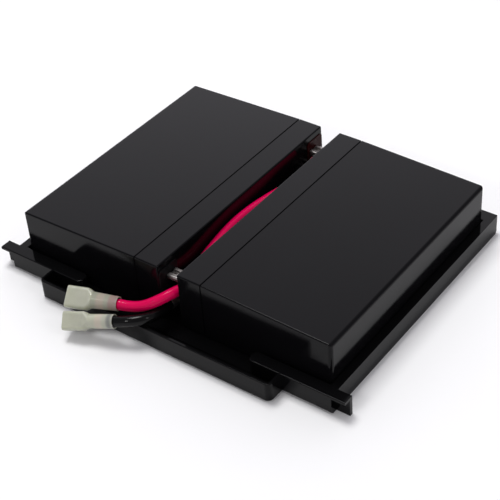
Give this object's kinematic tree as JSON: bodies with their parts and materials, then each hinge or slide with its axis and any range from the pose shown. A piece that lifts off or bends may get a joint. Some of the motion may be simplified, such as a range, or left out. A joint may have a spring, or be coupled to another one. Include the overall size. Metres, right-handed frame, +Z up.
{
  "type": "ups battery cartridge",
  "caption": "Replacement battery cartridge: flat sealed lead-acid batteries lying lid to lid in a shallow black tray with screw ears, with red and black leads in push-on connectors.",
  "frame": {"origin": "on the shelf surface, under the middle of the tray without its connectors", "axes": "+X to the right seen from the front, +Y from the front with the lead pocket to the back, +Z up"},
  "size_m": [0.227, 0.198, 0.038],
  "materials": {
    "tray_plastic": "polished black moulded plastic",
    "battery_case": "satin charcoal moulded plastic",
    "valve_rubber": "plain black rubber",
    "tinned_metal": "tin plated brass strip",
    "red_seal": "red casting resin",
    "black_seal": "black casting resin",
    "plate_lead": "dull grey lead",
    "glass_mat": "white absorbent glass mat",
    "foam_tape": "white foam tape with adhesive on both faces",
    "red_insulation": "glossy red wire insulation",
    "black_insulation": "glossy black wire insulation",
    "nylon": "milky natural nylon, slightly translucent"
  },
  "bodies": {
    "root": {"black_connector_housing": "nylon", "black_grip_sleeve": "tinned_metal", "black_lead": "black_insulation", "black_lead_flag": "tinned_metal", "black_receptacle": "tinned_metal", "jumper": "black_insulation", "jumper_back_flag": "tinned_metal", "jumper_front_flag": "tinned_metal", "left_cell_1_negative_plates": "plate_lead", "left_cell_1_positive_plates": "plate_lead", "left_cell_1_separators": "glass_mat", "left_cell_2_negative_plates": "plate_lead", "left_cell_2_positive_plates": "plate_lead", "left_cell_2_separators": "glass_mat", "left_cell_3_negative_plates": "plate_lead", "left_cell_3_positive_plates": "plate_lead", "left_cell_3_separators": "glass_mat", "left_container": "battery_case", "left_lid": "battery_case", "left_negative_blade": "tinned_metal", "left_negative_seal": "black_seal", "left_positive_blade": "tinned_metal", "left_positive_seal": "red_seal", "left_tapes": "foam_tape", "left_valve_1": "valve_rubber", "left_valve_2": "valve_rubber", "left_valve_3": "valve_rubber", "left_vent_cover": "battery_case", "red_connector_housing": "nylon", "red_grip_sleeve": "tinned_metal", "red_lead": "red_insulation", "red_lead_flag": "tinned_metal", "red_receptacle": "tinned_metal", "right_cell_1_negative_plates": "plate_lead", "right_cell_1_positive_plates": "plate_lead", "right_cell_1_separators": "glass_mat", "right_cell_2_negative_plates": "plate_lead", "right_cell_2_positive_plates": "plate_lead", "right_cell_2_separators": "glass_mat", "right_cell_3_negative_plates": "plate_lead", "right_cell_3_positive_plates": "plate_lead", "right_cell_3_separators": "glass_mat", "right_container": "battery_case", "right_lid": "battery_case", "right_negative_blade": "tinned_metal", "right_negative_seal": "black_seal", "right_positive_blade": "tinned_metal", "right_positive_seal": "red_seal", "right_tapes": "foam_tape", "right_valve_1": "valve_rubber", "right_valve_2": "valve_rubber", "right_valve_3": "valve_rubber", "right_vent_cover": "battery_case", "tray": "tray_plastic"}
  },
  "joints": []
}
